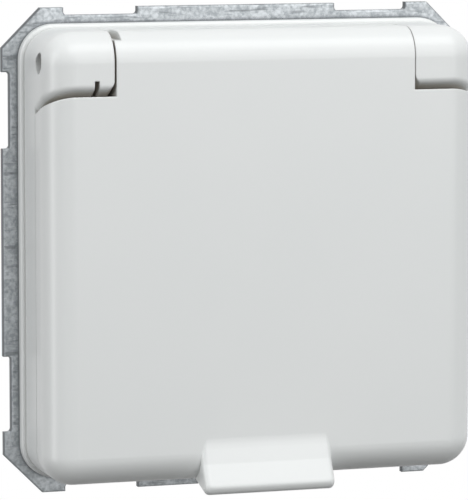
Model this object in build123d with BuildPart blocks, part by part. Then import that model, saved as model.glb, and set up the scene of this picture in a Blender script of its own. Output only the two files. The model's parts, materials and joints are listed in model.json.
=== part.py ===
from build123d import *
import os
from math import hypot, isclose, sqrt

# Earthed flush socket with a sprung hinged lid on a 71 mm square support frame.
# Millimetres. X to the right seen from the front, Z up, Y into the wall.
# The wall plane is Y = 0, and a height is measured from it towards the front, along -Y.

# Support frame, stamped sheet
frame_side = 71.0
sheet = 1.2
corner_cut = 5.76
corner_tab = 3.45
notch_depth = 1.1
middle_tab = 30.36
notch_round = 0.5
edge_roll = 0.3
raise_side_land = 0.9
raise_land = 1.8
raise_corner = 10.0
raise_height = 0.6
screw_spacing = 60.0
screw_slot_r = 1.9
screw_slot_length = 5.4

# Cover outline, shared by the cover base and the lid
cover_side = 65.2
plan_corner = 4.6
edge_round = 4.3
front_height = 15.5
parting_height = 8.6
lid_rest_gap = 0.1

# Cover base
lip_overhang = 0.6
lip_thickness = 1.3
lip_round = 0.5
groove_width = 0.3
groove_depth = 0.12
base_wall = 1.8
deck = 2.0
rim_height = 1.2
rim_wall = 1.2
rim_gap = 0.4
rim_top_z = 18.5

# Hinge
axis_height = 10.5
axis_z = 28.1
hinge_hole_r = 1.5
axle_play = 0.05
axle_inset = 1.4
axle_blind = 2.1
block_inner_x = 22.7
lid_left_gap = 0.3
lid_right_gap = 0.1
block_edge_z = 24.66
block_root_z = 20.95
block_sag = 0.05
block_corner = 1.0
lid_edge_z = 23.58
lid_root_z = 20.75
lid_sag = 0.2
tongue_play = 0.03
trough_gap = 0.35
trough_floor = 1.4
trough_edge = 1.7
curl_end_z = 30.1

# Lid
lid_wall = 2.0
lid_edge_wall = 1.6
cheek = 2.2
knuckle_x = 7.0
knuckle_width = 2.0
notch_width = 1.05
notch_floor_z = 31.42
grip_width = 19.8
grip_reach = 5.6
grip_lead = 1.0
grip_blend = 5.5
# Rise over the cover's front and drop under its lower edge at the corners of the grip
grip_break = (0.8, -2.75)
grip_brow = (2.4, 0.4)
grip_toe = (1.85, 1.8)
grip_root = (-4.5, 0.0)
grip_round = 0.95
grip_side_round = 0.8

# Lid spring, a torsion coil round the axle inside the left hinge block
wire_r = 0.3
coil_r = 2.1
coil_turns = 5.25
coil_pitch = 0.85
spring_x = -25.25
pocket_r = 2.9
pocket_wall = 2.2
leg_end_z = 23.4
axle_leg_end = 0.3
leg_lap = 0.2
wire_play = 0.05
leg_slot_top = 25.75

# Plug recess
recess_r = 19.5
recess_depth = 17.5
recess_wall = 1.8
recess_floor = 2.6
recess_chamfer = 0.6
pin_spacing = 19.0
pin_hole_r = 2.75
pin_chamfer = 0.6
pin_way_play = 0.15
guide_width = 4.6
guide_depth = 2.5
guide_inset = 2.0
clip_slot = 3.9
clip_slot_play = 0.4

# Insulating socket body behind the frame
body_margin = 1.0
body_corner = 5.0
body_rear = 31.0
front_wall = 2.0
post_r = 2.2
post_gap = 1.25
frame_opening_gap = 0.9
well_play = 0.2

# Live and neutral contacts, and the terminals
strip = 0.8
contact_width = 7.8
contact_x = 10.0
contact_seat = 25.0
leaf_gap = 4.7
leaf_height = 7.0
leaf_front = 14.0
contact_low_z = -4.2
contact_high_z = 17.0
terminal_z = 12.4
terminal_screw_r = 1.75
terminal_head_r = 3.2
terminal_head = 2.2
terminal_tip = 4.6
terminal_head_chamfer = 0.3
clamp_side = 7.4
clamp_thickness = 1.2
clamp_corner = 0.6
thread_gap = 0.03
slot_width = 0.9
slot_depth = 0.9
wire_way = 5.0

# Earth bow
earth_strip = 1.0
earth_width = 7.0
earth_leg_inset = 1.3
earth_screw_z = -11.0
clip_bend = 6.0
clip_bulge = 1.7
clip_bulge_height = 1.0
clip_tip_height = 6.4

# Fasteners
rivet_r = 1.2
rivet_head_r = 2.2
rivet_head = 0.7
rivet_length = 9.0
rivet_play = 0.05
cover_screw_r = 1.5
cover_screw_head_r = 2.9
cover_screw_length = 8.0
screw_play = 0.2
bush_r = 2.6
bush_length = 8.0

# Spreading claws
claw_screw_inset = 3.1
claw_screw_r = 1.5
claw_hole_r = 2.1
claw_head_r = 2.7
claw_head_top = 0.9
claw_head_play = 0.03
claw_screw_end = 24.0
claw_strip = 1.2
claw_width = 10.0
claw_gap = 0.6
claw_lug = 19.0
claw_guide = 7.0
claw_reach = 8.0
claw_outer_gap = 3.2
claw_tooth = 1.0
claw_teeth = 3

# Derived places
frame_half = frame_side / 2
half = cover_side / 2
round_height = front_height - edge_round
round_z = half - edge_round
lip_top = sheet + lip_thickness
deck_back = parting_height - deck
lid_left_x = lid_left_gap - block_inner_x
lid_right_x = block_inner_x - lid_right_gap
cheek_left_x = lid_left_x + cheek
cheek_right_x = lid_right_x - cheek
lid_inside = front_height - lid_wall
tongue_r = edge_round + hypot(round_height - axis_height, round_z - axis_z) + tongue_play
trough_r = tongue_r + trough_gap
axle_r = hinge_hole_r - axle_play
recess_outer_r = recess_r + recess_wall
opening_r = recess_outer_r + frame_opening_gap
floor_y = recess_depth - parting_height
body_front = floor_y + recess_floor
raised_front = sheet + raise_height
leg_front = axis_height + coil_r + wire_r + wire_play
wire_way_half = wire_r + wire_play
body_side = 2 * (recess_r + body_margin)
post_xz = (recess_outer_r + post_r + post_gap) / sqrt(2)
earth_leg_z = recess_r - earth_leg_inset
claw_inner = recess_outer_r + claw_gap
claw_screw_x = claw_inner + claw_screw_inset
claw_outer = claw_screw_x + claw_outer_gap
raise_width = 2 * (claw_screw_x + claw_hole_r + raise_side_land)
raise_depth = 2 * (opening_r + raise_land)
far = frame_side


def slab(width, depth, corner, low, high, edge=0.0):
    """Rounded slab between two heights, its front edges rounded by edge."""
    with BuildPart() as made:
        with BuildSketch(Plane.XZ.offset(low)):
            RectangleRounded(width, depth, corner)
        extrude(amount=high - low)
        if edge:
            fillet(made.faces().sort_by(Axis.Y)[0].edges(), edge)
    return made.part


def brick(x0, x1, low, high, z0, z1):
    """Box between two X, two heights and two Z."""
    with BuildPart() as made:
        with BuildSketch(Plane.XZ.offset(low)):
            with Locations(((x0 + x1) / 2, (z0 + z1) / 2)):
                Rectangle(x1 - x0, z1 - z0)
        extrude(amount=high - low)
    return made.part


def rod(radius, low, high, x=0.0, z=0.0):
    """Round bar square to the wall between two heights."""
    with BuildPart() as made:
        with BuildSketch(Plane.XZ.offset(low)):
            with Locations((x, z)):
                Circle(radius)
        extrude(amount=high - low)
    return made.part


def cross_rod(radius, x0, x1):
    """Round bar on the hinge axis between two X."""
    with BuildPart() as made:
        with BuildSketch(Plane.YZ.offset(x0)):
            with Locations((-axis_height, axis_z)):
                Circle(radius)
        extrude(amount=x1 - x0)
    return made.part


def circles(made, radius):
    """Circular edges of a piece that have one radius."""
    return made.edges().filter_by(GeomType.CIRCLE).filter_by(lambda e: isclose(e.radius, radius))


def bow_radius(edge_z, root_z, sag):
    """Radius of the shallow arc from the parting plane up to the front."""
    chord = hypot(front_height - parting_height, edge_z - root_z)
    return chord**2 / 8 / sag + sag / 2


def over_edge(edge_z, root_z, sag, x0, x1):
    """All that lies over a slightly hollow edge from the parting plane up to the front."""
    root = (-parting_height, root_z)
    edge = (-front_height, edge_z)
    with BuildPart() as made:
        with BuildSketch(Plane.YZ.offset(x0)):
            with BuildLine():
                SagittaArc(root, edge, sag)
                Polyline(edge, (-far, edge_z), (-far, far), (-parting_height, far), root)
            make_face()
        extrude(amount=x1 - x0)
    return made.part


outer = slab(cover_side, cover_side, plan_corner, sheet, front_height, edge_round)

# Support frame
notch_length = frame_half - corner_cut - corner_tab - middle_tab / 2
notch_middle = middle_tab / 2 + notch_length / 2
raised_back = slab(raise_width, raise_depth, raise_corner, -sheet, raise_height)
raised_face = slab(
    raise_width + 2 * raise_height,
    raise_depth + 2 * raise_height,
    raise_corner + raise_height,
    sheet,
    raised_front,
)
with BuildPart() as support_frame:
    with BuildSketch(Plane.XZ) as plan:
        Rectangle(frame_side, frame_side)
        chamfer(plan.vertices(), corner_cut)
        with PolarLocations(0, 4):
            with Locations((notch_middle, frame_half), (-notch_middle, frame_half)):
                Rectangle(notch_length, 2 * notch_depth, mode=Mode.SUBTRACT)
        steps = [v for v in plan.vertices() if max(abs(v.X), abs(v.Y)) < frame_half - notch_depth / 2]
        fillet(steps, notch_round)
    extrude(amount=sheet)
    fillet(support_frame.faces().sort_by(Axis.Y)[0].edges(), edge_roll)
    add(raised_face)
    add(raised_back, mode=Mode.SUBTRACT)
    with BuildSketch(Plane.XZ):
        Circle(opening_r)
        with GridLocations(2 * post_xz, 2 * post_xz, 2, 2):
            Circle(rivet_r + rivet_play)
        with Locations((claw_screw_x, 0), (-claw_screw_x, 0)):
            Circle(claw_hole_r)
        with Locations((0, screw_spacing / 2), (0, -screw_spacing / 2)):
            SlotOverall(screw_slot_length, 2 * screw_slot_r, rotation=90)
    extrude(amount=raised_front, mode=Mode.SUBTRACT)

# Rivets between the frame and the socket body
with BuildPart() as frame_rivets:
    with BuildSketch(Plane.XZ.offset(raised_front)):
        with GridLocations(2 * post_xz, 2 * post_xz, 2, 2):
            Circle(rivet_r)
    extrude(amount=-rivet_length)
    with BuildSketch(Plane.XZ.offset(raised_front)):
        with GridLocations(2 * post_xz, 2 * post_xz, 2, 2):
            Circle(rivet_head_r)
    extrude(amount=rivet_head)
    chamfer(frame_rivets.edges().group_by(Axis.Y)[0], rivet_head / 2)

# Cover base with plug recess, hinge blocks and trough
lip = slab(
    cover_side + 2 * lip_overhang,
    cover_side + 2 * lip_overhang,
    plan_corner + lip_overhang,
    sheet,
    lip_top,
    lip_round,
)
groove_core = slab(
    cover_side - 2 * groove_depth,
    cover_side - 2 * groove_depth,
    plan_corner - groove_depth,
    lip_top,
    lip_top + groove_width,
)
base_hollow = slab(
    cover_side - 2 * base_wall,
    cover_side - 2 * base_wall,
    plan_corner - base_wall,
    sheet,
    deck_back,
)
rim_side = cover_side - 2 * lid_wall - 2 * rim_gap
rim_corner = plan_corner - lid_wall - rim_gap
rim = slab(rim_side, rim_side, rim_corner, parting_height, parting_height + rim_height)
rim_core = slab(
    rim_side - 2 * rim_wall,
    rim_side - 2 * rim_wall,
    rim_corner - rim_wall,
    parting_height,
    parting_height + rim_height,
)
trough_back = axis_height - trough_r - trough_floor
trough_low_z = axis_z - trough_r - trough_floor
trough_bar = brick(
    -block_inner_x - base_wall,
    block_inner_x + base_wall,
    trough_back,
    parting_height,
    trough_low_z,
    half - base_wall / 2,
)
pocket_end = -half + pocket_wall
with BuildPart() as lid_space:
    add(brick(-far, far, parting_height, far, -far, far))
    add(over_edge(block_edge_z, block_root_z, block_sag, block_inner_x, far), mode=Mode.SUBTRACT)
    add(over_edge(block_edge_z, block_root_z, block_sag, -far, -block_inner_x), mode=Mode.SUBTRACT)
with BuildPart() as groove:
    add(brick(-far, far, lip_top, lip_top + groove_width, -far, far))
    add(groove_core, mode=Mode.SUBTRACT)
with BuildPart() as low_rim:
    add(rim)
    add(rim_core, mode=Mode.SUBTRACT)
    add(brick(-far, far, parting_height, front_height, rim_top_z, far), mode=Mode.SUBTRACT)
with BuildPart() as cover_base:
    add(outer)
    add(lid_space.part, mode=Mode.SUBTRACT)
    fillet(circles(cover_base, bow_radius(block_edge_z, block_root_z, block_sag)), block_corner)
    add(groove.part, mode=Mode.SUBTRACT)
    add(lip)
    add(base_hollow, mode=Mode.SUBTRACT)
    add(trough_bar)
    add(rod(recess_outer_r, -body_front, parting_height))
    add(low_rim.part)
    add(cross_rod(trough_r, -block_inner_x, block_inner_x), mode=Mode.SUBTRACT)
    add(
        brick(-block_inner_x, block_inner_x, parting_height - trough_edge, far, axis_z, far),
        mode=Mode.SUBTRACT,
    )
    add(rod(recess_r, -floor_y, far), mode=Mode.SUBTRACT)
    for side in (-1, 1):
        wall_x = side * (recess_r + recess_wall / 2)
        rib_x = side * (recess_r - guide_depth)
        add(
            brick(
                min(wall_x, rib_x),
                max(wall_x, rib_x),
                -body_front,
                parting_height - guide_inset,
                -guide_width / 2,
                guide_width / 2,
            )
        )
    chamfer(circles(cover_base, recess_r).group_by(Axis.Y)[0], recess_chamfer)
    for side in (-1, 1):
        pin_x = side * pin_spacing / 2
        add(rod(pin_hole_r, -body_front, 0, pin_x), mode=Mode.SUBTRACT)
        clip_z = side * (recess_r - clip_slot / 2)
        add(
            brick(
                -earth_width / 2 - clip_slot_play,
                earth_width / 2 + clip_slot_play,
                -body_front,
                -floor_y,
                clip_z - clip_slot / 2,
                clip_z + clip_slot / 2,
            ),
            mode=Mode.SUBTRACT,
        )
    chamfer(circles(cover_base, pin_hole_r).group_by(Axis.Y)[0], pin_chamfer)
    with Locations(Location((0, floor_y, 0), (90, 0, 0))):
        CounterSinkHole(cover_screw_r + screw_play, cover_screw_head_r + screw_play, far, 90)
    add(cross_rod(hinge_hole_r, -far, half - axle_blind), mode=Mode.SUBTRACT)
    add(cross_rod(pocket_r, pocket_end, -block_inner_x), mode=Mode.SUBTRACT)
    add(
        brick(
            spring_x - wire_way_half,
            spring_x + wire_way_half,
            axis_height,
            far,
            block_root_z,
            leg_slot_top,
        ),
        mode=Mode.SUBTRACT,
    )
    add(
        brick(
            spring_x - wire_way_half,
            spring_x + wire_way_half,
            axis_height,
            leg_front,
            leg_slot_top,
            axis_z,
        ),
        mode=Mode.SUBTRACT,
    )

# Lid with finger grip, hinge curl and knuckles
lid_back = parting_height + lid_rest_gap
lid_hollow = slab(
    cover_side - 2 * lid_wall,
    cover_side - 2 * lid_wall,
    plan_corner - lid_wall,
    lid_back,
    lid_inside,
    edge_round - lid_wall,
)
wall_z = lid_edge_z - lid_edge_wall
wall_root_z = lid_root_z - lid_edge_wall
with BuildPart() as lid_room_inside:
    add(lid_hollow)
    add(over_edge(wall_z, wall_root_z, lid_sag, cheek_right_x, far), mode=Mode.SUBTRACT)
    add(over_edge(wall_z, wall_root_z, lid_sag, -far, cheek_left_x), mode=Mode.SUBTRACT)
hollow_r = front_height - axis_height - lid_wall
with BuildPart() as tongue:
    add(outer)
    add(cross_rod(tongue_r, lid_left_x, lid_right_x), mode=Mode.INTERSECT)
    add(cross_rod(hollow_r, cheek_left_x, cheek_right_x), mode=Mode.SUBTRACT)
    add(brick(cheek_left_x, cheek_right_x, 0, axis_height, 0, curl_end_z), mode=Mode.SUBTRACT)
    for x in (-knuckle_x, knuckle_x):
        add(cross_rod(hollow_r, x - knuckle_width / 2, x + knuckle_width / 2))
grip_start_z = grip_reach - half
grip_corners = [
    (-front_height - rise, -half - drop) for rise, drop in (grip_break, grip_brow, grip_toe, grip_root)
]
with BuildPart() as grip_bar:
    with BuildSketch(Plane.YZ.offset(-grip_width / 2)) as grip:
        with BuildLine():
            Polyline(
                (-front_height, grip_start_z + grip_lead),
                (-front_height, grip_start_z),
                *grip_corners,
                (grip_corners[-1][0], lid_wall / 2 - half),
                (-lid_inside, lid_wall / 2 - half),
                (-lid_inside, grip_start_z + grip_lead),
                close=True,
            )
        make_face()
        fillet(grip.vertices().sort_by(Axis.X)[0:2], grip_round)
        start = grip.vertices().sort_by_distance((-front_height, grip_start_z, 0))[0]
        fillet(start, grip_blend)
    extrude(amount=grip_width)
    ends = grip_bar.faces().filter_by(Axis.X).edges()
    fillet([e for e in ends if e.center().Y < -front_height], grip_side_round)
with BuildPart() as lid:
    add(outer)
    add(brick(-far, far, 0, lid_back, -far, far), mode=Mode.SUBTRACT)
    add(brick(-far, far, 0, far, axis_z, far), mode=Mode.SUBTRACT)
    add(over_edge(lid_edge_z, lid_root_z, lid_sag, lid_right_x, far), mode=Mode.SUBTRACT)
    add(over_edge(lid_edge_z, lid_root_z, lid_sag, -far, lid_left_x), mode=Mode.SUBTRACT)
    add(lid_room_inside.part, mode=Mode.SUBTRACT)
    add(tongue.part)
    add(cross_rod(axle_r, lid_left_x, lid_right_x), mode=Mode.SUBTRACT)
    add(
        brick(lid_left_x, lid_left_x + notch_width, 0, front_height, notch_floor_z, half),
        mode=Mode.SUBTRACT,
    )
    add(grip_bar.part)

# Hinge axle, tight in the lid and turning in the blocks, its slotted end turned by the spring
coil_length = coil_turns * coil_pitch
coil_start = spring_x - coil_length
with BuildPart() as hinge_axle:
    add(cross_rod(axle_r, -half + axle_inset, half - axle_blind - axle_play))
    add(
        brick(
            -half,
            coil_start + wire_way_half,
            axis_height - wire_way_half,
            axis_height + wire_way_half,
            axis_z - hinge_hole_r,
            axis_z + hinge_hole_r,
        ),
        mode=Mode.SUBTRACT,
    )

# Lid spring: one leg across the axle's slot, one leg down behind the block's front wall
with BuildPart() as lid_spring:
    with BuildLine():
        coil = Helix(
            coil_pitch,
            coil_length,
            coil_r,
            center=(coil_start, -axis_height, axis_z),
            direction=(1, 0, 0),
        )
    first = coil @ 0
    last = coil @ 1
    with BuildSketch(Plane(origin=first, z_dir=coil % 0)):
        Circle(wire_r)
    sweep(path=coil)
    with BuildSketch(Plane(origin=last + Vector(0, 0, leg_lap), z_dir=(0, 0, -1))):
        Circle(wire_r)
    extrude(amount=last.Z + leg_lap - leg_end_z)
    with BuildSketch(Plane(origin=first + Vector(0, 0, leg_lap), z_dir=(0, 0, -1))):
        Circle(wire_r)
    extrude(amount=leg_lap + coil_r + axle_r - axle_leg_end)

# Insulating socket body
leaf_x = leaf_gap / 2 + strip + well_play
pole_half = contact_width / 2 + well_play
groove_half = earth_width / 2 + well_play
leg_low = earth_leg_z - earth_strip / 2 - well_play
leg_high = earth_leg_z + earth_strip / 2 + well_play
with BuildPart() as socket_body:
    add(slab(body_side, body_side, body_corner, -body_rear, -body_front))
    with BuildSketch(Plane.XZ.offset(-body_front)):
        with GridLocations(2 * post_xz, 2 * post_xz, 2, 2):
            Circle(post_r)
    extrude(amount=body_front + raise_height)
    with BuildSketch(Plane.XZ.offset(raise_height)):
        with GridLocations(2 * post_xz, 2 * post_xz, 2, 2):
            Circle(rivet_r + rivet_play)
    extrude(amount=-rivet_length, mode=Mode.SUBTRACT)
    add(rod(bush_r, -body_front - bush_length, -body_front), mode=Mode.SUBTRACT)
    add(
        rod(cover_screw_r + screw_play, -contact_seat, -body_front),
        mode=Mode.SUBTRACT,
    )
    for side in (-1, 1):
        pin_x = side * pin_spacing / 2
        pole_x = side * contact_x
        add(rod(pin_hole_r + pin_way_play, -contact_seat, -body_front, pin_x), mode=Mode.SUBTRACT)
        add(
            brick(
                pin_x - leaf_x,
                pin_x + leaf_x,
                -contact_seat,
                -body_front - front_wall,
                -leaf_height / 2 - well_play,
                leaf_height / 2 + well_play,
            ),
            mode=Mode.SUBTRACT,
        )
        add(
            brick(
                pole_x - pole_half,
                pole_x + pole_half,
                -body_rear,
                -contact_seat,
                contact_low_z - well_play,
                contact_high_z + well_play,
            ),
            mode=Mode.SUBTRACT,
        )
        add(
            brick(
                pole_x - wire_way / 2,
                pole_x + wire_way / 2,
                -body_rear,
                -contact_seat - strip,
                contact_high_z,
                far,
            ),
            mode=Mode.SUBTRACT,
        )
        add(
            rod(
                terminal_screw_r + screw_play,
                -contact_seat,
                -contact_seat + terminal_tip + screw_play,
                pole_x,
                terminal_z,
            ),
            mode=Mode.SUBTRACT,
        )
        add(
            brick(
                -groove_half,
                groove_half,
                -body_rear,
                -body_front,
                min(side * leg_low, side * leg_high),
                max(side * leg_low, side * leg_high),
            ),
            mode=Mode.SUBTRACT,
        )
    add(
        brick(-groove_half, groove_half, -body_rear, -contact_seat, -leg_high, leg_high),
        mode=Mode.SUBTRACT,
    )
    add(
        rod(
            terminal_screw_r + screw_play,
            -contact_seat,
            -contact_seat + terminal_tip + screw_play,
            0,
            earth_screw_z,
        ),
        mode=Mode.SUBTRACT,
    )

# Brass bush that takes the cover screw
with BuildPart() as screw_bush:
    add(rod(bush_r, -body_front - bush_length, -body_front))
    add(rod(cover_screw_r + thread_gap, -far, far), mode=Mode.SUBTRACT)

# Cover screw, countersunk in the recess floor
with BuildPart() as cover_screw:
    with BuildSketch(Plane.YZ):
        with BuildLine():
            Polyline(
                (floor_y, 0),
                (floor_y, cover_screw_head_r),
                (floor_y + cover_screw_head_r - cover_screw_r, cover_screw_r),
                (floor_y + cover_screw_length, cover_screw_r),
                (floor_y + cover_screw_length, 0),
                close=True,
            )
        make_face()
    revolve(axis=Axis.Y)
    add(
        brick(-far, far, -floor_y - slot_depth, -floor_y, -slot_width / 2, slot_width / 2),
        mode=Mode.SUBTRACT,
    )


def pole_contact(side):
    """Plate with two spring leaves for a plug pin and a tapped terminal hole."""
    pin_x = side * pin_spacing / 2
    pole_x = side * contact_x
    with BuildPart() as made:
        add(
            brick(
                pole_x - contact_width / 2,
                pole_x + contact_width / 2,
                -contact_seat - strip,
                -contact_seat,
                contact_low_z,
                contact_high_z,
            )
        )
        for x in (pin_x - leaf_gap / 2 - strip, pin_x + leaf_gap / 2):
            add(
                brick(
                    x,
                    x + strip,
                    -contact_seat - strip,
                    -leaf_front,
                    -leaf_height / 2,
                    leaf_height / 2,
                )
            )
        add(
            rod(terminal_screw_r + thread_gap, -far, far, pole_x, terminal_z),
            mode=Mode.SUBTRACT,
        )
    return made


def clamp_plate(x, z, seat):
    """Square plate under a terminal screw, lying on a strip whose rear face is at seat."""
    with BuildPart() as made:
        with BuildSketch(Plane.XZ.offset(-seat - clamp_thickness)):
            with Locations((x, z)):
                RectangleRounded(clamp_side, clamp_side, clamp_corner)
        extrude(amount=clamp_thickness)
        add(rod(terminal_screw_r + screw_play, -far, far, x, z), mode=Mode.SUBTRACT)
    return made


def terminal_screw(x, z, seat):
    """Slotted screw through a clamp plate, its head to the rear."""
    head = seat + clamp_thickness
    with BuildPart() as made:
        add(rod(terminal_screw_r, -head, -contact_seat + terminal_tip, x, z))
        add(rod(terminal_head_r, -head - terminal_head, -head, x, z))
        chamfer(made.edges().group_by(Axis.Y)[-1], terminal_head_chamfer)
        add(
            brick(
                x - far,
                x + far,
                -head - terminal_head,
                -head - terminal_head + slot_depth,
                z - slot_width / 2,
                z + slot_width / 2,
            ),
            mode=Mode.SUBTRACT,
        )
    return made.part


line_contact = pole_contact(-1)
neutral_contact = pole_contact(1)
pole_seat = contact_seat + strip
earth_seat = contact_seat + earth_strip
line_clamp = clamp_plate(-contact_x, terminal_z, pole_seat)
neutral_clamp = clamp_plate(contact_x, terminal_z, pole_seat)
earth_clamp = clamp_plate(0, earth_screw_z, earth_seat)
with BuildPart() as terminal_screws:
    add(terminal_screw(-contact_x, terminal_z, pole_seat))
    add(terminal_screw(contact_x, terminal_z, pole_seat))
    add(terminal_screw(0, earth_screw_z, earth_seat))

# Earth bow: a strap across the rear with a spring clip at the top and bottom of the recess
leg_in = earth_leg_z - earth_strip / 2
leg_out = earth_leg_z + earth_strip / 2
bulge_y = -clip_bulge_height
tip_y = -clip_tip_height
with BuildPart() as earth_bow:
    for side in (-1, 1):
        with BuildSketch(Plane.YZ.offset(-earth_width / 2)):
            with BuildLine():
                Polyline(
                    (earth_seat, 0),
                    (earth_seat, side * leg_out),
                    (clip_bend, side * leg_out),
                )
                ThreePointArc(
                    (clip_bend, side * leg_out),
                    (bulge_y, side * (leg_out - clip_bulge)),
                    (tip_y, side * leg_out),
                )
                Line((tip_y, side * leg_out), (tip_y, side * leg_in))
                ThreePointArc(
                    (tip_y, side * leg_in),
                    (bulge_y, side * (leg_in - clip_bulge)),
                    (clip_bend, side * leg_in),
                )
                Polyline(
                    (clip_bend, side * leg_in),
                    (contact_seat, side * leg_in),
                    (contact_seat, 0),
                    (earth_seat, 0),
                )
            make_face()
        extrude(amount=earth_width)
    add(rod(terminal_screw_r + thread_gap, -far, far, 0, earth_screw_z), mode=Mode.SUBTRACT)


def claw(side):
    """Bent steel claw, threaded on its screw, with a guide leg inside and teeth outside."""
    with BuildPart() as made:
        with BuildSketch(Plane.XY.offset(-claw_width / 2)):
            with BuildLine():
                Polyline(
                    (side * claw_inner, claw_lug + claw_strip),
                    (side * claw_inner, claw_lug - claw_guide),
                    (side * (claw_inner + claw_strip), claw_lug - claw_guide),
                    (side * (claw_inner + claw_strip), claw_lug),
                    (side * (claw_outer - claw_strip), claw_lug),
                    (side * (claw_outer - claw_strip), claw_lug - claw_reach),
                    (side * (claw_outer + claw_tooth), claw_lug - claw_reach),
                    (side * claw_outer, claw_lug - claw_reach + claw_strip),
                    (side * claw_outer, claw_lug + claw_strip),
                    close=True,
                )
            make_face()
        extrude(amount=claw_width)
        tooth = claw_width / claw_teeth
        with BuildSketch(Plane.YZ.offset(side * (claw_outer - claw_strip / 2))):
            for n in range(claw_teeth - 1):
                with Locations((claw_lug - claw_reach, (n + 1) * tooth - claw_width / 2)):
                    Rectangle(2 * claw_strip, tooth / 2, rotation=45)
        extrude(amount=side * far, mode=Mode.SUBTRACT)
        add(
            rod(claw_screw_r + thread_gap, -far, far, side * claw_screw_x),
            mode=Mode.SUBTRACT,
        )
    return made


head_rise = sqrt(claw_head_r**2 - claw_hole_r**2) + claw_head_play
head_y = -raised_front - head_rise
head_flat_r = sqrt(claw_head_r**2 - claw_head_top**2)
head_neck = sqrt(claw_head_r**2 - claw_screw_r**2)


def claw_screw(side):
    """Screw with a ball-shaped underside that rocks in its hole in the frame."""
    tip = claw_screw_end - head_y
    top = claw_head_top - head_y
    with BuildPart() as made:
        with BuildSketch(Plane(origin=(side * claw_screw_x, head_y, 0))):
            with BuildLine():
                Polyline((0, tip), (0, -claw_head_top), (head_flat_r, -claw_head_top))
                ThreePointArc(
                    (head_flat_r, -claw_head_top),
                    (claw_head_r, 0),
                    (claw_screw_r, head_neck),
                )
                Polyline((claw_screw_r, head_neck), (claw_screw_r, tip), (0, tip))
            make_face()
        revolve(axis=Axis((side * claw_screw_x, 0, 0), (0, 1, 0)))
        add(
            brick(-far, far, top - slot_depth, top, -slot_width / 2, slot_width / 2),
            mode=Mode.SUBTRACT,
        )
    return made


claw_left = claw(-1)
claw_right = claw(1)
claw_screw_left = claw_screw(-1)
claw_screw_right = claw_screw(1)

os.makedirs("parts", exist_ok=True)
for name, piece in {
    "support_frame": support_frame,
    "frame_rivets": frame_rivets,
    "socket_body": socket_body,
    "screw_bush": screw_bush,
    "cover_screw": cover_screw,
    "line_contact": line_contact,
    "neutral_contact": neutral_contact,
    "line_clamp": line_clamp,
    "neutral_clamp": neutral_clamp,
    "earth_clamp": earth_clamp,
    "terminal_screws": terminal_screws,
    "earth_bow": earth_bow,
    "cover_base": cover_base,
    "lid": lid,
    "hinge_axle": hinge_axle,
    "lid_spring": lid_spring,
    "claw_left": claw_left,
    "claw_right": claw_right,
    "claw_screw_left": claw_screw_left,
    "claw_screw_right": claw_screw_right,
}.items():
    piece.part.label = name
    export_step(piece.part, f"parts/{name}.step")
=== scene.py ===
"""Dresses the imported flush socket: finishes, lid spring, threaded claw screws and a plain studio."""

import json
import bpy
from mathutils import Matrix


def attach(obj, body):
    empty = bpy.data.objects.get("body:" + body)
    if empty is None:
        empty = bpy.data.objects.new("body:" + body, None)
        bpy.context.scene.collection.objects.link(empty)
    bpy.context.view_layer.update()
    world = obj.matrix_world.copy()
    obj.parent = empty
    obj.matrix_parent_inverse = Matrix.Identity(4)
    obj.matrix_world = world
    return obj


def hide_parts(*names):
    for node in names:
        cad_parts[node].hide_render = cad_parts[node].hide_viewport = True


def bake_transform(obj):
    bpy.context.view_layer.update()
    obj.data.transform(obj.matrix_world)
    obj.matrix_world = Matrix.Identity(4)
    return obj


bl_info = {
    "name": "Lidded Flush Socket",
    "version": (1, 0, 0),
    "blender": (4, 5, 0),
    "location": "3D View > Sidebar > Socket",
    "description": "Finishes, lid spring, claw screws and studio of a flush socket with a hinged lid",
    "category": "Object",
}

from math import acos, asin, cos, pi, radians, sin

import bmesh
import bpy
from bpy.props import FloatProperty, FloatVectorProperty, PointerProperty
from mathutils import Matrix, Vector

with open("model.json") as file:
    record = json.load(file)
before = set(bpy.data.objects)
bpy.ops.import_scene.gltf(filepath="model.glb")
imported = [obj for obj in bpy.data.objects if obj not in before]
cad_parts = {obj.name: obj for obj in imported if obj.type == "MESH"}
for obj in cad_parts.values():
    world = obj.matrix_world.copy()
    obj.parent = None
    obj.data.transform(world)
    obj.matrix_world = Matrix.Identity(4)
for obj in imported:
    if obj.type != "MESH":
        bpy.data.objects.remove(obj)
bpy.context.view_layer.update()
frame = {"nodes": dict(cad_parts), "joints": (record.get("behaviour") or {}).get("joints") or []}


def joint_place(name):
    """Place of one of the frame's hinge joints."""
    return Vector(next(joint["pos_m"] for joint in frame["joints"] if joint["name"] == name))


MM = 0.001
HINGE = joint_place("lid_hinge")
CLAW_BALL = joint_place("right_claw_swing")
SHEET_THICKNESS = 1.2 * MM
# Middle of the support frame's front face, from which the camera's distance is measured.
FRAME_FRONT = Vector((0, -SHEET_THICKNESS, 0))

# CAD nodes that share a material.
COVER = ("cover_base", "lid")
SHEET = ("support_frame",)
BODY = ("socket_body",)
PLATED = ("frame_rivets", "cover_screw", "line_clamp", "neutral_clamp", "earth_clamp", "terminal_screws")
BRASS = ("line_contact", "neutral_contact", "screw_bush")
BRASS_STRAP = ("earth_bow",)
CLAWS = ("claw_left", "claw_right")
AXLE = ("hinge_axle",)

# How fine round pieces are.
WIRE_SIDES = 12
BEND_STEPS = 8
STEPS_PER_COIL = 28
SCREW_SIDES = 48
BALL_STEPS = 14
STEPS_PER_THREAD = 24
FLOOR_SIDES = 96
# An edge at which the surface turns by more than this stays sharp.
SHARP_EDGE = radians(35)
# Points of a screw that are nearer to each other than WELD are merged, and one that is nearer to a
# plane than ON_PLANE lies on it.
WELD = 0.0025 * MM
ON_PLANE = 0.0009 * MM

# Sockets of a Mix node that mixes colours: three inputs and the output.
MIX_SHARE = 0
MIX_FIRST = 6
MIX_SECOND = 7
MIX_RESULT = 2

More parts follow.
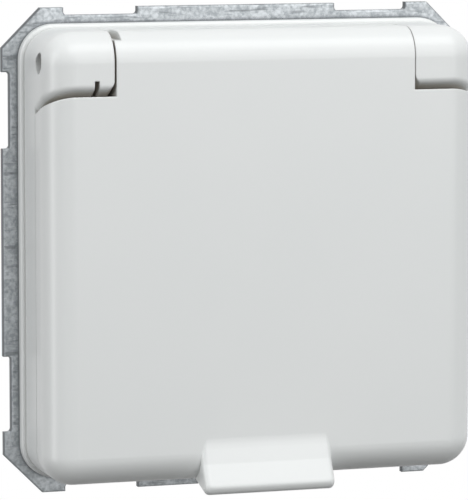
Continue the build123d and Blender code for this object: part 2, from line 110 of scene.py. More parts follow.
# Scales along X, Y and Z that draw a pattern out into streaks. A small number makes a long streak.
EVEN = (1, 1, 1)
ALONG_X = (0.05, 1, 1)
ALONG_Z = (1, 1, 0.08)
ALONG_Y_AND_Z = (1, 0.08, 0.08)
ALONG_X_AND_Y = (0.1, 0.1, 1)

# Size and place of each area lamp in metres. Its power has the same name in the settings.
LAMPS = {
    "key": ((0.7, 0.45), (0.15, -0.4, 0.62)),
    "fill": ((0.6, 0.6), (0.35, -0.8, 0.2)),
    "strip": ((0.18, 0.8), (-0.7, -0.14, 0.12)),
}
SENSOR_WIDTH_MM = 36


def linear(hex_colour):
    """Linear RGBA of an sRGB hex colour."""
    parts = [int(hex_colour[n : n + 2], 16) / 255 for n in (1, 3, 5)]
    return tuple(p / 12.92 if p <= 0.04045 else ((p + 0.055) / 1.055) ** 2.4 for p in parts) + (1.0,)


def colour(name, description, hex_colour):
    """Colour property with an sRGB hex default."""
    return FloatVectorProperty(
        name=name,
        description=description,
        subtype="COLOR",
        size=4,
        min=0,
        max=1,
        default=linear(hex_colour),
    )


def length(name, description, millimetres):
    """Length property with a default in millimetres."""
    return FloatProperty(
        name=name,
        description=description,
        subtype="DISTANCE",
        unit="LENGTH",
        precision=5,
        min=0,
        default=millimetres * MM,
    )


def angle(name, description, degrees):
    """Angle property with a default in degrees."""
    return FloatProperty(
        name=name,
        description=description,
        subtype="ANGLE",
        unit="ROTATION",
        precision=4,
        default=radians(degrees),
    )


def power(name, description, watts):
    """Power property of a lamp, in watts."""
    return FloatProperty(name=name, description=description, unit="POWER", min=0, default=watts)


def share(name, description, default):
    """Property from 0 to 1."""
    return FloatProperty(name=name, description=description, subtype="FACTOR", min=0, max=1, default=default)


class CoverFinish(bpy.types.PropertyGroup):
    """White plastic of the cover and lid."""

    white: colour("White", "Clean plastic", "#E3E5E4")
    flow: colour("Flow patches", "Plastic where the melt ran a little thinner", "#DEE1E0")
    # Painted shade: this warm darker colour is painted into the gaps where little light gets in.
    painted_gap_shade: colour("Crevices", "Warm tone deep in the gaps", "#A89F92")
    roughness: share("Roughness", "Roughness of the moulded skin", 0.34)
    edge: length("Edge", "Radius to which sharp moulded edges are softened", 0.3)
    grain: length("Grain", "Width of the mould's fine texture, drawn coarse enough to show", 0.35)


class SheetFinish(bpy.types.PropertyGroup):
    """Zinc-coated sheet of the support frame."""

    zinc: colour("Zinc", "Bright zinc", "#BABEC1")
    dull: colour("Dull zinc", "Weathered zinc between the crystals", "#93989B")
    # The marks colour is also painted as the shadow beside the cover and as shade on edges and walls that
    # don't face up.
    mark: colour("Marks", "Dark rolling marks, corners and sheared edges", "#5E6265")
    spangle: length("Spangle", "Width of a zinc crystal", 1.4)
    edge: length("Edge", "Radius to which sheared edges are rolled over", 0.3)
    roughness: share("Roughness", "Roughness of the zinc coat", 0.5)


class MetalFinish(bpy.types.PropertyGroup):
    """Plated steel, brass, spring steel and insulating plastic behind the cover."""

    plated: colour("Plated steel", "Bright zinc plate", "#B5B4AD")
    claw: colour("Claw steel", "Dull zinc plate", "#9A9A96")
    claw_dark: colour("Dark claw steel", "Zinc plate where it has darkened", "#7F7F7A")
    brass: colour("Brass", "Rolled brass", "#C6A352")
    tarnish: colour("Tarnish", "Brass that has darkened", "#8F6E36")
    wire: colour("Wire", "Drawn spring steel", "#4B4842")
    axle: colour("Axle", "Drawn and oiled steel", "#6E675D")
    thermoset: colour("Thermoset", "Pressed insulating resin", "#55585A")
    filler: colour("Filler", "Pale specks of filler in the resin", "#787B7C")


class SpringSize(bpy.types.PropertyGroup):
    """Torsion spring of the lid."""

    wire_radius: length("Wire radius", "Radius of the spring wire", 0.3)
    coil_radius: length("Coil radius", "Radius of the coil at the wire's middle", 2.1)
    bend_radius: length("Bend radius", "Radius of the bend into the axle's slot", 0.45)
    turns: FloatProperty(name="Turns", description="Turns of the coil", min=1, default=5.25)
    start: length("Start", "How far left of the middle the coil starts", 29.7125)
    end: length("End", "How far left of the middle the fixed leg hangs", 25.25)
    leg_end: length("Leg end", "Height at which the fixed leg ends", 23.4)
    axle_leg: length("Axle leg", "How far the other leg reaches past the axle's middle", 1.15)


class ScrewSize(bpy.types.PropertyGroup):
    """Claw screws."""

    place: length("Place", "Distance of each screw from the middle", CLAW_BALL.x / MM)
    radius: length("Radius", "Outer radius of the thread", 1.5)
    pitch: length("Pitch", "Pitch of the thread", 0.5)
    thread_depth: length("Thread depth", "Depth of the thread", 0.27)
    thread_start: length("Thread start", "Where the thread begins behind the wall plane", 3.0)
    tip: length("Tip", "Where the screw ends behind the wall plane", 24.0)
    ball_centre: length("Ball centre", "Centre of the head's ball in front of the wall", -CLAW_BALL.y / MM)
    ball_radius: length("Ball radius", "Radius of the ball-shaped head", 2.7)
    crown: length("Crown", "Height of the head's flat top over the ball's centre", 0.9)
    slot_width: length("Slot width", "Width of the driver slot", 0.9)
    slot_depth: length("Slot depth", "Depth of the driver slot", 0.9)


class Studio(bpy.types.PropertyGroup):
    """Camera, light and floor."""

    azimuth: angle("Azimuth", "Place of the camera to the left", 17.7265)
    elevation: angle("Elevation", "Rise of the camera", 6.7914)
    distance: length("Distance", "Distance of the camera from the middle of the frame's front", 546.628)
    pan: angle("Pan", "Direction of the view to the right", 17.685)
    tilt: angle("Tilt", "Fall of the view", 6.869)
    roll: angle("Roll", "Roll of the camera", 0.0595)
    lens: FloatProperty(name="Lens", description="Focal length", unit="CAMERA", min=1, default=266.3)
    key: power("Key", "Power of the lamp over the front", 2.75)
    fill: power("Fill", "Power of the lamp at the right", 2.7)
    strip: power("Strip", "Power of the tall narrow lamp at the left", 2.0)
    sky: colour("Sky", "Colour of the light from all round", "#FCFDFF")
    above: share("Above", "Strength of the light from all round at the top", 0.52)
    below: share("Below", "Strength of the light from all round at the bottom", 0.02)
    floor: colour("Floor", "Pale floor", "#EFEFED")
    dust: colour("Dust", "Dusty patches of the floor", "#F3F3F1")
    bounce: colour("Bounce", "Tone of the light that the floor sends back up", "#3C3C3B")
    drop: length("Floor drop", "How far the floor lies under the middle of the socket", 260.0)
    fade_start: length("Fade start", "Distance from the middle at which the floor starts to fade", 300.0)
    fade_end: length("Fade end", "Distance from the middle at which the floor ends", 800.0)


class SocketDress(bpy.types.PropertyGroup):
    """All settings of the dressed socket."""

    cover: PointerProperty(type=CoverFinish)
    sheet: PointerProperty(type=SheetFinish)
    metal: PointerProperty(type=MetalFinish)
    spring: PointerProperty(type=SpringSize)
    screw: PointerProperty(type=ScrewSize)
    studio: PointerProperty(type=Studio)


def node(tree, kind, inputs=(), **settings):
    """Add a node with its settings, and give each input, by name or number, a value or a link."""
    made = tree.nodes.new(kind)
    for name, value in settings.items():
        setattr(made, name, value)
    for name, value in dict(inputs).items():
        if isinstance(value, bpy.types.NodeSocket):
            tree.links.new(value, made.inputs[name])
        else:
            made.inputs[name].default_value = value
    return made


def per(size):
    """Texture scale at which a pattern repeats about once in a length."""
    return 1 / size


def empty_material(name):
    """New material without nodes."""
    made = bpy.data.materials.new(name)
    made.use_nodes = True
    made.node_tree.nodes.clear()
    return made


def moulded_polycarbonate(finish):
    """Polycarbonate, injection moulded: even semi-gloss white, fine mould grain, and a warm painted shade in
    the gaps.
    """
    made = empty_material("moulded_polycarbonate")
    tree = made.node_tree
    place = node(tree, "ShaderNodeTexCoord").outputs["Object"]
    flow = node(tree, "ShaderNodeTexNoise", {"Vector": place, "Scale": per(22 * MM), "Detail": 2.0})
    # The mould's grain is finer on the real cover. It is drawn coarser, so that it shows.
    grain = node(tree, "ShaderNodeTexNoise", {"Vector": place, "Scale": per(finish.grain), "Detail": 2.0})
    # Painted shade: a warm darker colour is painted where a gap lets little light in.
    shut = node(tree, "ShaderNodeAmbientOcclusion", {"Distance": 2.2 * MM}, samples=8)
    depth = node(
        tree,
        "ShaderNodeMapRange",
        {"Value": shut.outputs["AO"], "From Min": 0.45, "From Max": 0.1, "To Max": 0.8},
    )
    skin = node(
        tree,
        "ShaderNodeMix",
        {MIX_SHARE: flow.outputs[0], MIX_FIRST: finish.white, MIX_SECOND: finish.flow},
        data_type="RGBA",
    )
    gap_shaded = node(
        tree,
        "ShaderNodeMix",
        {MIX_SHARE: depth.outputs[0], MIX_FIRST: skin.outputs[MIX_RESULT], MIX_SECOND: finish.painted_gap_shade},
        data_type="RGBA",
    )
    gloss = node(
        tree,
        "ShaderNodeMapRange",
        {"Value": grain.outputs[0], "To Min": finish.roughness - 0.04, "To Max": finish.roughness + 0.04},
    )
    soft = node(tree, "ShaderNodeBevel", {"Radius": finish.edge}, samples=6)
    bump = node(
        tree,
        "ShaderNodeBump",
        {"Strength": 0.05, "Distance": 0.04 * MM, "Height": grain.outputs[0], "Normal": soft.outputs[0]},
    )
    plastic = node(
        tree,
        "ShaderNodeBsdfPrincipled",
        {
            "Base Color": gap_shaded.outputs[MIX_RESULT],
            "Roughness": gloss.outputs[0],
            "IOR": 1.58,
            "Normal": bump.outputs[0],
        },
    )
    node(tree, "ShaderNodeOutputMaterial", {"Surface": plastic.outputs[0]})
    return made


def galvanised_sheet(finish):
    """Hot-dip galvanised sheet, stamped: mottled grey zinc crystals, short rolling marks, dark cut edges,
    and painted shade beside the cover and on edges and walls that don't face up.
    """
    made = empty_material("galvanised_sheet")
    tree = made.node_tree
    place = node(tree, "ShaderNodeTexCoord").outputs["Object"]
    crystal = node(tree, "ShaderNodeTexVoronoi", {"Vector": place, "Scale": per(finish.spangle)})
    bright = node(tree, "ShaderNodeSeparateColor", {"Color": crystal.outputs["Color"]})
    mottle = node(tree, "ShaderNodeTexNoise", {"Vector": place, "Scale": per(0.5 * MM), "Detail": 5.0})
    # The crystals differ a little in tone, and each is mottled.
    tone = node(
        tree,
        "ShaderNodeMath",
        {0: bright.outputs[0], 1: 0.16, 2: mottle.outputs[0]},
        operation="MULTIPLY_ADD",
    )
    spread = node(
        tree,
        "ShaderNodeMapRange",
        {"Value": tone.outputs[0], "From Min": 0.42, "From Max": 0.76},
    )
    coat = node(
        tree,
        "ShaderNodeMix",
        {MIX_SHARE: spread.outputs[0], MIX_FIRST: finish.dull, MIX_SECOND: finish.zinc},
        data_type="RGBA",
    )
    # Rolling leaves short dark marks across the sheet, some ten times as wide as they are high.
    drawn = node(tree, "ShaderNodeMapping", {"Vector": place, "Scale": ALONG_X_AND_Y}).outputs[0]
    streaks = node(tree, "ShaderNodeTexNoise", {"Vector": drawn, "Scale": per(0.6 * MM), "Detail": 2.0})
    marks = node(
        tree,
        "ShaderNodeMapRange",
        {"Value": streaks.outputs[0], "From Min": 0.57, "From Max": 0.66, "To Max": 0.55},
    )
    # Painted shadow: the sheet is darkened where the cover stands on it, in the corner that the cover
    # shades.
    shut = node(tree, "ShaderNodeAmbientOcclusion", {"Distance": 2 * MM}, samples=8)
    contact_shadow = node(
        tree,
        "ShaderNodeMapRange",
        {"Value": shut.outputs["AO"], "From Min": 0.74, "From Max": 0.54},
    )
    # Sheared edges and bent walls don't face along Y. Their darkening is partly the bare steel of cut edges
    # and partly painted shade, and edges that face straight up are spared.
    # The support frame never moves, so the Bevel node's directions are its own.
    soft = node(tree, "ShaderNodeBevel", {"Radius": finish.edge}, samples=8)
    along = node(tree, "ShaderNodeSeparateXYZ", {"Vector": soft.outputs[0]})
    flat = node(tree, "ShaderNodeMath", {0: along.outputs["Y"]}, operation="ABSOLUTE")
    edge = node(tree, "ShaderNodeMapRange", {"Value": flat.outputs[0], "From Min": 0.99, "From Max": 0.5})
    sideways = node(tree, "ShaderNodeMath", {0: along.outputs["X"]}, operation="ABSOLUTE")
    rise = node(
        tree,
        "ShaderNodeMath",
        {0: along.outputs["Z"], 1: sideways.outputs[0]},
        operation="SUBTRACT",
    )
    below = node(tree, "ShaderNodeMapRange", {"Value": rise.outputs[0], "From Min": 0.3, "From Max": 0.05})
    sheared_and_shaded = node(tree, "ShaderNodeMath", {0: edge.outputs[0], 1: below.outputs[0]}, operation="MULTIPLY")
    marks_and_contact_shadow = node(tree, "ShaderNodeMath", {0: marks.outputs[0], 1: contact_shadow.outputs[0]}, operation="MAXIMUM")
    dark = node(tree, "ShaderNodeMath", {0: marks_and_contact_shadow.outputs[0], 1: sheared_and_shaded.outputs[0]}, operation="MAXIMUM")
    marked_and_shaded = node(
        tree,
        "ShaderNodeMix",
        {MIX_SHARE: dark.outputs[0], MIX_FIRST: coat.outputs[MIX_RESULT], MIX_SECOND: finish.mark},
        data_type="RGBA",
    )
    gloss = node(
        tree,
        "ShaderNodeMapRange",
        {"Value": spread.outputs[0], "To Min": finish.roughness + 0.04, "To Max": finish.roughness - 0.04},
    )
    bump = node(
        tree,
        "ShaderNodeBump",
        {"Strength": 0.15, "Distance": 0.06 * MM, "Height": tone.outputs[0], "Normal": soft.outputs[0]},
    )
    # A weathered zinc coat is partly oxide, so it is only partly metallic.
    zinc = node(
        tree,
        "ShaderNodeBsdfPrincipled",
        {
            "Base Color": marked_and_shaded.outputs[MIX_RESULT],
            "Metallic": 0.6,
            "Roughness": gloss.outputs[0],
            "Normal": bump.outputs[0],
        },
    )
    node(tree, "ShaderNodeOutputMaterial", {"Surface": zinc.outputs[0]})
    return made


def worked_metal(name, bright, dark, roughness, streak, patch):
    """Rolled, drawn or plated metal: fine lines along the working direction, and dull patches."""
    made = empty_material(name)
    tree = made.node_tree
    place = node(tree, "ShaderNodeTexCoord").outputs["Object"]
    drawn = node(tree, "ShaderNodeMapping", {"Vector": place, "Scale": streak}).outputs[0]
    # The lines are finer on real metal. They are drawn coarser, so that they show.
    lines = node(tree, "ShaderNodeTexNoise", {"Vector": drawn, "Scale": per(0.3 * MM), "Detail": 3.0})
    dulled = node(tree, "ShaderNodeTexNoise", {"Vector": place, "Scale": per(patch), "Detail": 4.0})
    tone = node(
        tree,
        "ShaderNodeMath",
        {0: lines.outputs[0], 1: 0.4, 2: dulled.outputs[0]},
        operation="MULTIPLY_ADD",
    )
    spread = node(tree, "ShaderNodeMapRange", {"Value": tone.outputs[0], "From Min": 0.45, "From Max": 0.95})
    skin = node(
        tree,
        "ShaderNodeMix",
        {MIX_SHARE: spread.outputs[0], MIX_FIRST: dark, MIX_SECOND: bright},
        data_type="RGBA",
    )
    # Dull patches are rougher than the bright metal between them.
    gloss = node(
        tree,
        "ShaderNodeMapRange",
        {"Value": spread.outputs[0], "To Min": roughness + 0.14, "To Max": roughness - 0.05},
    )
    soft = node(tree, "ShaderNodeBevel", {"Radius": 0.12 * MM}, samples=6)
    bump = node(
        tree,
        "ShaderNodeBump",
        {"Strength": 0.12, "Distance": 0.03 * MM, "Height": lines.outputs[0], "Normal": soft.outputs[0]},
    )
    metal = node(
        tree,
        "ShaderNodeBsdfPrincipled",
        {
            "Base Color": skin.outputs[MIX_RESULT],
            "Metallic": 1.0,
            "Roughness": gloss.outputs[0],
            "Normal": bump.outputs[0],
        },
    )
    node(tree, "ShaderNodeOutputMaterial", {"Surface": metal.outputs[0]})
    return made


def pressed_thermoset(finish):
    """Urea resin, hot pressed: matt grey with pale specks of filler and a slightly uneven skin."""
    made = empty_material("pressed_thermoset")
    tree = made.node_tree
    place = node(tree, "ShaderNodeTexCoord").outputs["Object"]
    speck = node(tree, "ShaderNodeTexVoronoi", {"Vector": place, "Scale": per(1.1 * MM)})
    skin = node(tree, "ShaderNodeTexNoise", {"Vector": place, "Scale": per(0.7 * MM), "Detail": 4.0})
    dot = node(
        tree,
        "ShaderNodeMapRange",
        {
            "Value": speck.outputs["Distance"],
            "From Min": 0.12,
            "From Max": 0.22,
            "To Min": 0.6,
            "To Max": 0.0,
        },
    )
    cloud = node(
        tree,
        "ShaderNodeMapRange",
        {"Value": skin.outputs[0], "From Min": 0.3, "From Max": 0.7, "To Max": 0.25},
    )
    either = node(tree, "ShaderNodeMath", {0: dot.outputs[0], 1: cloud.outputs[0]}, operation="MAXIMUM")
    speckled = node(
        tree,
        "ShaderNodeMix",
        {MIX_SHARE: either.outputs[0], MIX_FIRST: finish.thermoset, MIX_SECOND: finish.filler},
        data_type="RGBA",
    )
    gloss = node(tree, "ShaderNodeMapRange", {"Value": skin.outputs[0], "To Min": 0.48, "To Max": 0.66})
    soft = node(tree, "ShaderNodeBevel", {"Radius": 0.2 * MM}, samples=6)
    bump = node(
        tree,
        "ShaderNodeBump",
        {"Strength": 0.15, "Distance": 0.05 * MM, "Height": skin.outputs[0], "Normal": soft.outputs[0]},
    )
    resin = node(
        tree,
        "ShaderNodeBsdfPrincipled",
        {
            "Base Color": speckled.outputs[MIX_RESULT],
            "Roughness": gloss.outputs[0],
            "IOR": 1.6,
            "Normal": bump.outputs[0],
        },
    )
    node(tree, "ShaderNodeOutputMaterial", {"Surface": resin.outputs[0]})
    return made


def dress(names, material):
    """Give CAD nodes one material."""
    for name in names:
        frame["nodes"][name].material_slots[0].material = material


def piece(name, mesh, material):
    """New object at the origin from a bmesh, smooth but for its sharp edges."""
    bmesh.ops.recalc_face_normals(mesh, faces=mesh.faces)
    data = bpy.data.meshes.new(name)
    mesh.to_mesh(data)
    mesh.free()
    data.shade_smooth()
    data.set_sharp_from_angle(angle=SHARP_EDGE)
    data.materials.append(material)
    made = bpy.data.objects.new(name, data)
    bpy.context.scene.collection.objects.link(made)
    return made


def ends(made):
    """Vertices and edges at the new end of what an extrusion or a spin made."""
    geometry = made["geom_last"] if "geom_last" in made else made["geom"]
    verts = [part for part in geometry if isinstance(part, bmesh.types.BMVert)]
    edges = [part for part in geometry if isinstance(part, bmesh.types.BMEdge)]
    return verts, edges


def spring_wire(size):
    """Round wire that runs up through the axle's slot, bends over, winds into a coil and hangs down."""
    lead = asin(size.bend_radius / (size.coil_radius - size.bend_radius))
    bend_rise = (size.coil_radius - size.bend_radius) * cos(lead)
    steps = round(size.turns * STEPS_PER_COIL)
    wire = bmesh.new()
    section = bmesh.ops.create_circle(wire, segments=WIRE_SIDES, radius=size.wire_radius)["verts"]
    bmesh.ops.translate(wire, vec=HINGE + Vector((-size.start, 0, -size.axle_leg)), verts=section)
    rise = bmesh.ops.extrude_edge_only(wire, edges=wire.edges[:])
    verts, edges = ends(rise)
    bmesh.ops.translate(wire, vec=(0, 0, size.axle_leg + bend_rise), verts=verts)
    bend = bmesh.ops.spin(
        wire,
        geom=verts + edges,
        cent=HINGE + Vector((-size.start, -size.bend_radius, bend_rise)),
        axis=(1, 0, 0),
        angle=pi / 2 + lead,
        steps=BEND_STEPS,
    )
    verts, edges = ends(bend)
    coil = bmesh.ops.spin(
        wire,
        geom=verts + edges,
        cent=HINGE,
        axis=(1, 0, 0),
        dvec=((size.start - size.end) / steps, 0, 0),
        angle=size.turns * 2 * pi - lead,
        steps=steps,
    )
    verts, edges = ends(coil)
    drop = bmesh.ops.extrude_edge_only(wire, edges=edges)
    verts, edges = ends(drop)
    bmesh.ops.translate(wire, vec=(0, 0, size.leg_end - HINGE.z), verts=verts)
    bmesh.ops.holes_fill(wire, edges=wire.edges)
    return wire


def driver_slot(screw, size):
    """Cut the driver's slot along X into an upright head."""
    floor = size.crown - size.slot_depth
    half = size.slot_width / 2
    for place, normal in (((0, -half, 0), (0, 1, 0)), ((0, half, 0), (0, 1, 0)), ((0, 0, floor), (0, 0, 1))):
        geometry = screw.verts[:] + screw.edges[:] + screw.faces[:]
        bmesh.ops.bisect_plane(screw, geom=geometry, plane_co=place, plane_no=normal)
    middles = [(face, face.calc_center_median()) for face in screw.faces]
    inside = [face for face, middle in middles if abs(middle.y) < half and middle.z > floor + ON_PLANE]
    bmesh.ops.delete(screw, geom=inside, context="FACES")
    rim = [edge for edge in screw.edges if edge.is_boundary]
    floor_edges = [edge for edge in rim if all(abs(vert.co.z - floor) < ON_PLANE for vert in edge.verts)]
    for wall in (-half, half):
        outline = [edge for edge in rim if all(abs(vert.co.y - wall) < ON_PLANE for vert in edge.verts)]
        corners = [vert for edge in outline for vert in edge.verts if abs(vert.co.z - floor) < ON_PLANE]
        foot = screw.edges.new(corners)
        bmesh.ops.edgeloop_fill(screw, edges=[*outline, foot])
        floor_edges.append(foot)
    bmesh.ops.edgeloop_fill(screw, edges=floor_edges)


def thread(screw, size):
    """Add a closed helical thread under the neck of an upright screw."""
    root = size.radius - size.thread_depth
    top = -size.ball_centre - size.thread_start
    low = -size.ball_centre - size.tip
    # One turn more at each end is cut off flat.
    turns = round((top - low) / size.pitch) + 2
    # Reach of the ridge, and its fall as a share of the pitch. The crest takes the middle fifth.
    ridge = [(root, 0.0), (size.radius, 0.4), (size.radius, 0.6), (root, 1.0)]
    cut = bmesh.new()
    points = [cut.verts.new((reach, 0, top + size.pitch - fall * size.pitch)) for reach, fall in ridge]
    edges = [cut.edges.new(pair) for pair in zip(points, points[1:])]
    bmesh.ops.spin(
        cut,
        geom=points + edges,
        cent=(0, 0, 0),
        axis=(0, 0, 1),
        dvec=(0, 0, -size.pitch / STEPS_PER_THREAD),
        angle=2 * pi * turns,
        steps=STEPS_PER_THREAD * turns,
    )
    bmesh.ops.remove_doubles(cut, verts=cut.verts, dist=WELD)
    for level, side in ((top, 1), (low, -1)):
        bmesh.ops.bisect_plane(
            cut,
            geom=cut.verts[:] + cut.edges[:] + cut.faces[:],
            plane_co=(0, 0, level),
            plane_no=(0, 0, side),
            clear_outer=True,
        )
    bmesh.ops.holes_fill(cut, edges=cut.edges)
    data = bpy.data.meshes.new("thread")
    cut.to_mesh(data)
    cut.free()
    screw.from_mesh(data)
    bpy.data.meshes.remove(data)


def claw_screw(size, side):
    """Slotted ball head, plain neck and helical thread of one claw screw, made upright and laid along Y."""
    screw = bmesh.new()
    neck_end = -size.ball_centre - size.thread_start
    first = acos(size.crown / size.ball_radius)
    last = pi - asin(size.radius / size.ball_radius)
    turns = [first + (last - first) * step / BALL_STEPS for step in range(BALL_STEPS + 1)]
    ball = [(size.ball_radius * sin(turn), size.ball_radius * cos(turn)) for turn in turns]
    profile = [(0, size.crown), *ball, (size.radius, neck_end), (0, neck_end)]
    points = [screw.verts.new((reach, 0, level)) for reach, level in profile]
    edges = [screw.edges.new(pair) for pair in zip(points, points[1:])]
    bmesh.ops.spin(
        screw,
        geom=points + edges,
        cent=(0, 0, 0),
        axis=(0, 0, 1),
        angle=2 * pi,
        steps=SCREW_SIDES,
        use_merge=True,
    )
    bmesh.ops.remove_doubles(screw, verts=screw.verts, dist=WELD)
    driver_slot(screw, size)
    thread(screw, size)
    # Upright, the head points to +Z. Laid down, it points to the front.
    laid = Matrix.Translation((side * size.place, -size.ball_centre, 0)) @ Matrix.Rotation(pi / 2, 4, "X")
    bmesh.ops.transform(screw, matrix=laid, verts=screw.verts)
    return screw


def surroundings(scene, studio):
    """White where it is seen or reflected, and a soft light that comes more from above than from below."""
    scene.world = bpy.data.worlds.new("studio")
    scene.world.use_nodes = True
    tree = scene.world.node_tree
    tree.nodes.clear()
    seen = node(tree, "ShaderNodeLightPath")
    mirror = node(
        tree,
        "ShaderNodeMath",
        {0: seen.outputs["Is Camera Ray"], 1: seen.outputs["Is Glossy Ray"]},
        operation="MAXIMUM",
    )
    clear = node(
        tree,
        "ShaderNodeMath",
        {0: mirror.outputs[0], 1: seen.outputs["Is Transmission Ray"]},
        operation="MAXIMUM",
    )
    outwards = node(tree, "ShaderNodeTexCoord").outputs["Generated"]
    rise = node(tree, "ShaderNodeSeparateXYZ", {"Vector": outwards})
    level = node(
        tree,
        "ShaderNodeMapRange",
        {
            "Value": rise.outputs["Z"],
            "From Min": -0.5,
            "From Max": 0.5,
            "To Min": studio.below,
            "To Max": studio.above,
        },
        interpolation_type="SMOOTHSTEP",
    )
    glow = node(tree, "ShaderNodeBackground", {"Color": studio.sky, "Strength": level.outputs[0]})
    white = node(tree, "ShaderNodeBackground", {"Color": linear("#FFFFFF"), "Strength": 1.0})
    mixed = node(tree, "ShaderNodeMixShader", {0: clear.outputs[0], 1: glow.outputs[0], 2: white.outputs[0]})
    node(tree, "ShaderNodeOutputWorld", {"Surface": mixed.outputs[0]})


def matt_studio_paint(studio):
    """Matt floor paint: pale with faint dust, clear at the rim, and sending little light back up."""
    made = empty_material("matt_studio_paint")
    tree = made.node_tree
    place = node(tree, "ShaderNodeTexCoord").outputs["Object"]
    flat = node(tree, "ShaderNodeVectorMath", {0: place, 1: (1, 1, 0)}, operation="MULTIPLY")
    reach = node(tree, "ShaderNodeVectorMath", {0: flat.outputs[0]}, operation="LENGTH")
    fade = node(
        tree,
        "ShaderNodeMapRange",
        {"Value": reach.outputs["Value"], "From Min": studio.fade_start, "From Max": studio.fade_end},
        interpolation_type="SMOOTHSTEP",
    )
    dust = node(tree, "ShaderNodeTexNoise", {"Vector": place, "Scale": per(30 * MM), "Detail": 3.0})
    coat = node(
        tree,
        "ShaderNodeMix",
        {MIX_SHARE: dust.outputs[0], MIX_FIRST: studio.floor, MIX_SECOND: studio.dust},
        data_type="RGBA",
    )
    seen = node(tree, "ShaderNodeLightPath")
    pale = node(tree, "ShaderNodeBsdfDiffuse", {"Color": coat.outputs[MIX_RESULT]})
    dark = node(tree, "ShaderNodeBsdfDiffuse", {"Color": studio.bounce})
    bounced = node(
        tree,
        "ShaderNodeMixShader",
        {0: seen.outputs["Is Diffuse Ray"], 1: pale.outputs[0], 2: dark.outputs[0]},
    )
    nothing = node(tree, "ShaderNodeBsdfTransparent")
    paint = node(
        tree,
        "ShaderNodeMixShader",
        {0: fade.outputs[0], 1: bounced.outputs[0], 2: nothing.outputs[0]},
    )
    node(tree, "ShaderNodeOutputMaterial", {"Surface": paint.outputs[0]})
    return made


def floor_disc(studio):
    """Round floor under the socket, as wide as its paint reaches."""
    disc = bmesh.new()
    bmesh.ops.create_circle(disc, cap_ends=True, segments=FLOOR_SIDES, radius=studio.fade_end)
    bmesh.ops.translate(disc, vec=(0, 0, -studio.drop), verts=disc.verts)
    return disc


def area_lamp(name, watts, size, place):
    """Rectangular area lamp aimed at the socket."""
    lamp = bpy.data.lights.new(name, "AREA")
    lamp.shape = "RECTANGLE"
    lamp.size, lamp.size_y = size
    lamp.energy = watts
    made = bpy.data.objects.new(name, lamp)
    made.location = place
    made.rotation_euler = (-Vector(place)).to_track_quat("-Z", "Y").to_euler()
    bpy.context.scene.collection.objects.link(made)


def towards(turn, rise):
    """Unit vector from the socket to its front, turned to the left and raised by two angles."""
    return Vector((-sin(turn) * cos(rise), -cos(turn) * cos(rise), sin(rise)))


def camera(scene, studio):
    """Camera at the photograph's place and angle."""
    place = towards(studio.azimuth, studio.elevation) * studio.distance
    back = towards(studio.pan, studio.tilt)
    right = Vector((0, 0, 1)).cross(back).normalized()
    up = back.cross(right)
    level = Matrix((right, up, back)).transposed().to_4x4()
    rolled = level @ Matrix.Rotation(studio.roll, 4, "Z")
    lens = bpy.data.cameras.new("camera")
    lens.lens = studio.lens
    lens.sensor_width = SENSOR_WIDTH_MM
    made = bpy.data.objects.new("camera", lens)
    made.matrix_world = Matrix.Translation(FRAME_FRONT + place) @ rolled
    scene.collection.objects.link(made)
    scene.camera = made


class SOCKET_OT_cover(bpy.types.Operator):
    """Give the cover and lid their moulded white plastic"""

    bl_idname = "socket.cover"
    bl_label = "Cover and Lid"

    def execute(self, context):
        dress(COVER, moulded_polycarbonate(context.scene.socket.cover))
        return {"FINISHED"}


class SOCKET_OT_frame(bpy.types.Operator):
    """Give the support frame its zinc coat"""

    bl_idname = "socket.frame"
    bl_label = "Support Frame"

    def execute(self, context):
        dress(SHEET, galvanised_sheet(context.scene.socket.sheet))
        return {"FINISHED"}


class SOCKET_OT_insert(bpy.types.Operator):
    """Give the body, contacts, terminals, claws and axle their finishes"""

    bl_idname = "socket.insert"
    bl_label = "Body, Contacts and Claws"

    def execute(self, context):
        metal = context.scene.socket.metal
        dress(BODY, pressed_thermoset(metal))
        # Bright zinc plate: pale grey with small dull patches, and no working direction.
        plate = worked_metal(
            "zinc_plated_steel",
            metal.plated,
            metal.claw,
            roughness=0.3,
            streak=EVEN,
            patch=3 * MM,
        )
        dress(PLATED, plate)
        # Rolled brass: yellow with brown tarnish in patches, and streaks along the strip.
        brass = worked_metal(
            "rolled_brass",
            metal.brass,
            metal.tarnish,
            roughness=0.3,
            streak=ALONG_Z,
            patch=4 * MM,
        )
        dress(BRASS, brass)
        # The earth bow is bent from the same brass, so its streaks run both up and to the front.
        strap = worked_metal(
            "rolled_brass_strap",
            metal.brass,
            metal.tarnish,
            roughness=0.3,
            streak=ALONG_Y_AND_Z,
            patch=4 * MM,
        )
        dress(BRASS_STRAP, strap)
        # Dull zinc plate on stamped steel: greyer and rougher, with streaks across the claw.
        stamped = worked_metal(
            "dull_plated_steel",
            metal.claw,
            metal.claw_dark,
            roughness=0.42,
            streak=ALONG_X_AND_Y,
            patch=2 * MM,
        )
        dress(CLAWS, stamped)
        # Drawn steel with a film of oil: dark, with long fine lines along the axle.
        drawn = worked_metal(
            "drawn_axle_steel",
            metal.axle,
            metal.wire,
            roughness=0.36,
            streak=ALONG_X,
            patch=3 * MM,
        )
        dress(AXLE, drawn)
        return {"FINISHED"}


class SOCKET_OT_spring(bpy.types.Operator):
    """Wind the lid's torsion spring from round wire"""

    bl_idname = "socket.spring"
    bl_label = "Lid Spring"

    def execute(self, context):
        size = context.scene.socket.spring
        metal = context.scene.socket.metal
        # Drawn spring steel: dark grey-brown wire with a dull sheen.
        steel = worked_metal(
            "drawn_spring_steel",
            metal.axle,
            metal.wire,
            roughness=0.34,
            streak=EVEN,
            patch=2 * MM,
        )
        made = piece("lid_spring_wire", spring_wire(size), steel)
        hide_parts("lid_spring")
        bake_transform(made)
        return {"FINISHED"}


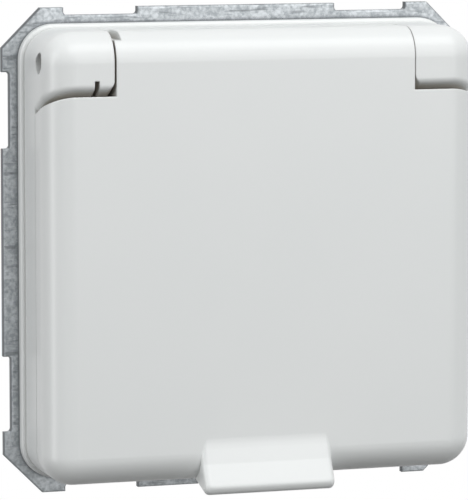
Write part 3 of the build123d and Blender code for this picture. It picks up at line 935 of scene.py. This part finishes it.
class SOCKET_OT_claw_screws(bpy.types.Operator):
    """Turn both claw screws, with a slotted ball head and a cut thread"""

    bl_idname = "socket.claw_screws"
    bl_label = "Claw Screws"

    def execute(self, context):
        size = context.scene.socket.screw
        metal = context.scene.socket.metal
        # Turned steel, zinc plated: the smoothest and brightest of the plated pieces.
        steel = worked_metal(
            "turned_plated_steel",
            metal.plated,
            metal.claw,
            roughness=0.26,
            streak=EVEN,
            patch=3 * MM,
        )
        for side, name in ((-1, "left"), (1, "right")):
            made = piece(f"claw_screw_{name}_threaded", claw_screw(size, side), steel)
            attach(made, f"{name}_claw_screw")
            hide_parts(f"claw_screw_{name}")
        return {"FINISHED"}


class SOCKET_OT_studio(bpy.types.Operator):
    """Set the white surroundings, pale floor, lamps and camera"""

    bl_idname = "socket.studio"
    bl_label = "Studio"

    def execute(self, context):
        studio = context.scene.socket.studio
        context.scene.view_settings.view_transform = "Standard"
        surroundings(context.scene, studio)
        piece("studio_floor", floor_disc(studio), matt_studio_paint(studio))
        for name, (size, place) in LAMPS.items():
            area_lamp(name, getattr(studio, name), size, place)
        camera(context.scene, studio)
        return {"FINISHED"}


OPERATORS = (
    SOCKET_OT_cover,
    SOCKET_OT_frame,
    SOCKET_OT_insert,
    SOCKET_OT_spring,
    SOCKET_OT_claw_screws,
    SOCKET_OT_studio,
)


class SOCKET_PT_panel(bpy.types.Panel):
    """Operators of the dressed socket"""

    bl_idname = "SOCKET_PT_panel"
    bl_label = "Lidded Flush Socket"
    bl_space_type = "VIEW_3D"
    bl_region_type = "UI"
    bl_category = "Socket"

    def draw(self, context):
        for operator in OPERATORS:
            self.layout.operator(operator.bl_idname)


SETTINGS = (CoverFinish, SheetFinish, MetalFinish, SpringSize, ScrewSize, Studio, SocketDress)
CLASSES = (*SETTINGS, *OPERATORS, SOCKET_PT_panel)


def register():
    """Register the classes, and give the scene its settings."""
    for cls in CLASSES:
        bpy.utils.register_class(cls)
    bpy.types.Scene.socket = PointerProperty(type=SocketDress)


def unregister():
    """Take the settings from the scene, and unregister the classes."""
    del bpy.types.Scene.socket
    for cls in reversed(CLASSES):
        bpy.utils.unregister_class(cls)


def main():
    """Make every piece in order."""
    register()
    bpy.ops.socket.cover()
    bpy.ops.socket.frame()
    bpy.ops.socket.insert()
    bpy.ops.socket.spring()
    bpy.ops.socket.claw_screws()
    bpy.ops.socket.studio()


if __name__ == "__main__":
    main()
